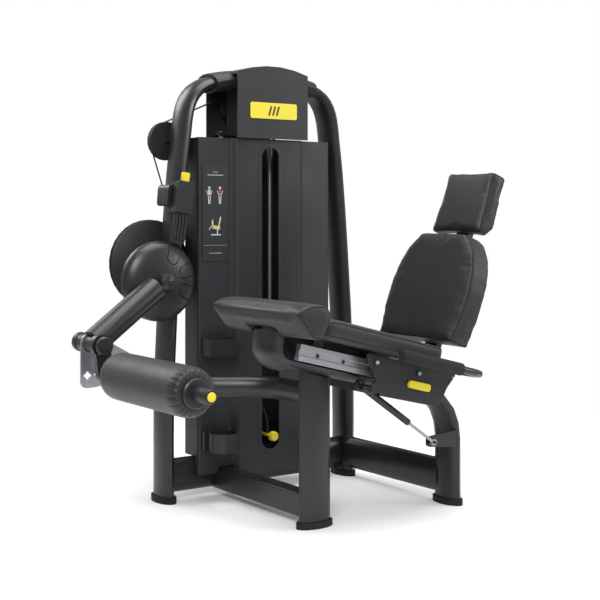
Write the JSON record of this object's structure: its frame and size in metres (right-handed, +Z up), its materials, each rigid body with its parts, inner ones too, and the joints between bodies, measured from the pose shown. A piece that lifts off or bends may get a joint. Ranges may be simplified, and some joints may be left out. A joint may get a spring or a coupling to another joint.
{
  "type": "leg extension machine",
  "caption": "Seated leg extension gym machine with an enclosed weight stack, arched tubular frame, cam lever with a shin roller, and a padded sliding backrest.",
  "frame": {"origin": "on the floor, under the centre of the whole machine's bounding box", "axes": "+Z up, +X from the shin roller to the backrest, +Y from the seat to the weight tower"},
  "size_m": [1.357, 1.05, 1.49],
  "materials": {
    "frame_paint": "satin",
    "panel_paint": "matt",
    "black_rubber": "matt",
    "rail_aluminium": "brushed",
    "upholstery": "grained",
    "black_plastic": "matt",
    "yellow_plastic": "semi-gloss",
    "bright_steel": "brushed",
    "dark_steel": "satin"
  },
  "bodies": {
    "base": {"arch_leg_left": "frame_paint", "arch_leg_right": "frame_paint", "base_beam": "frame_paint", "side_beam": "frame_paint", "rear_link_tube": "frame_paint", "mid_brace": "frame_paint", "foot_arch_left": "black_rubber", "foot_arch_right": "black_rubber", "foot_front": "black_rubber", "foot_rear": "black_rubber", "seat_beam": "frame_paint", "bolster_neck": "frame_paint", "front_leg": "frame_paint", "rail_near": "rail_aluminium", "rail_far": "rail_aluminium", "seat_pan": "frame_paint", "seat_cushion": "upholstery", "knee_bolster": "upholstery", "shroud_front": "panel_paint", "shroud_back": "panel_paint", "placard": "panel_paint", "accessory_bin": "black_plastic", "bottle_holder": "black_plastic", "top_cover": "panel_paint", "badge_plate": "yellow_plastic", "guide_rod_left": "bright_steel", "guide_rod_right": "bright_steel", "stack_shelf": "frame_paint", "stack_buffer": "black_rubber", "pulley_bracket": "dark_steel", "side_cable": "dark_steel", "bearing_housing": "frame_paint", "selector_clamp": "frame_paint"},
    "stack": {"weight_plates": "dark_steel", "head_plate": "dark_steel", "pin_tether": "black_rubber", "lift_cable": "dark_steel"},
    "stack_pin": {"selector_pin": "yellow_plastic"},
    "cable_wheel_rear": {"rear_pulley": "black_plastic"},
    "cable_wheel_top": {"top_pulley": "black_plastic"},
    "lever": {"cam_disc": "panel_paint", "hub_cover": "frame_paint", "lever_arm": "frame_paint", "cross_tube": "frame_paint", "index_plate": "bright_steel"},
    "swing": {"swing_arm": "frame_paint", "roller_knob": "black_plastic"},
    "roller": {"roller_pad": "upholstery"},
    "swing_button": {"release_button": "yellow_plastic"},
    "range_slide": {"range_selector": "black_plastic", "selector_button": "yellow_plastic"},
    "carriage": {"carriage_frame": "frame_paint", "backrest": "upholstery", "headrest": "upholstery", "handle_bar": "frame_paint", "grip_near": "black_rubber", "grip_far": "black_rubber"},
    "seat_latch": {"carriage_lever": "yellow_plastic"},
    "gas_stem": {"gas_rod": "bright_steel"},
    "gas_body": {"gas_cylinder": "dark_steel"}
  },
  "joints": [
    {"name": "lever_turn", "type": "hinge", "parent": "base", "child": "lever", "pos_m": [-0.32699, 0.265, 0.751], "axis": [0, 1, 0], "range_deg": [0, 62]},
    {"name": "stack_lift", "type": "slide", "parent": "base", "child": "stack", "axis": [0, 0, 1], "range_m": [0, 0.217], "deforming": ["lift_cable"]},
    {"name": "rear_pulley_turn", "type": "hinge", "parent": "base", "child": "cable_wheel_rear", "pos_m": [-0.21099, 0.439, 1.226], "axis": [0, 1, 0], "range_deg": [-200, 0]},
    {"name": "top_pulley_turn", "type": "hinge", "parent": "base", "child": "cable_wheel_top", "pos_m": [0.06901, 0.439, 1.356], "axis": [0, 1, 0], "range_deg": [-250, 0]},
    {"name": "pin_pull", "type": "slide", "parent": "stack", "child": "stack_pin", "axis": [0, -1, 0], "range_m": [0, 0.08]},
    {"name": "swing_turn", "type": "hinge", "parent": "lever", "child": "swing", "pos_m": [-0.62099, 0.101, 0.572], "axis": [0, 1, 0], "range_deg": [-41, 20.5]},
    {"name": "roller_spin", "type": "hinge", "parent": "swing", "child": "roller", "pos_m": [-0.60699, -0.209, 0.489], "axis": [0, 1, 0], "continuous": true},
    {"name": "release_press", "type": "slide", "parent": "swing", "child": "swing_button", "axis": [0, 1, 0], "range_m": [0, 0.008], "stiffness_N_per_m": 300, "springref_m": -0.004},
    {"name": "range_press", "type": "slide", "parent": "base", "child": "range_slide", "axis": [0.134, 0, 0.991], "range_m": [0, 0.012], "stiffness_N_per_m": 500, "springref_m": -0.012},
    {"name": "seat_slide", "type": "slide", "parent": "base", "child": "carriage", "axis": [-0.9703, 0, 0.2419], "range_m": [0, 0.13]},
    {"name": "latch_lift", "type": "hinge", "parent": "carriage", "child": "seat_latch", "pos_m": [0.21321, -0.37, 0.44001], "axis": [0, 1, 0], "range_deg": [-15, 0], "stiffness_Nm_per_rad": 3, "springref_deg": 8.59},
    {"name": "gas_tilt", "type": "hinge", "parent": "base", "child": "gas_stem", "pos_m": [0.38101, -0.285, 0.228], "axis": [0, 1, 0], "range_deg": [-6, 0]},
    {"name": "gas_stroke", "type": "slide", "parent": "gas_stem", "child": "gas_body", "axis": [-0.8227, 0, 0.5684], "range_m": [0, 0.135]}
  ],
  "couplings": [
    {"joint": "stack_lift", "follows": "lever_turn", "m_per_rad": 0.2},
    {"joint": "rear_pulley_turn", "follows": "lever_turn", "ratio": -3.2},
    {"joint": "top_pulley_turn", "follows": "lever_turn", "ratio": -4},
    {"joint": "gas_tilt", "follows": "seat_slide", "rad_per_m": -0.71202},
    {"joint": "gas_stroke", "follows": "seat_slide", "ratio": 0.95214}
  ]
}
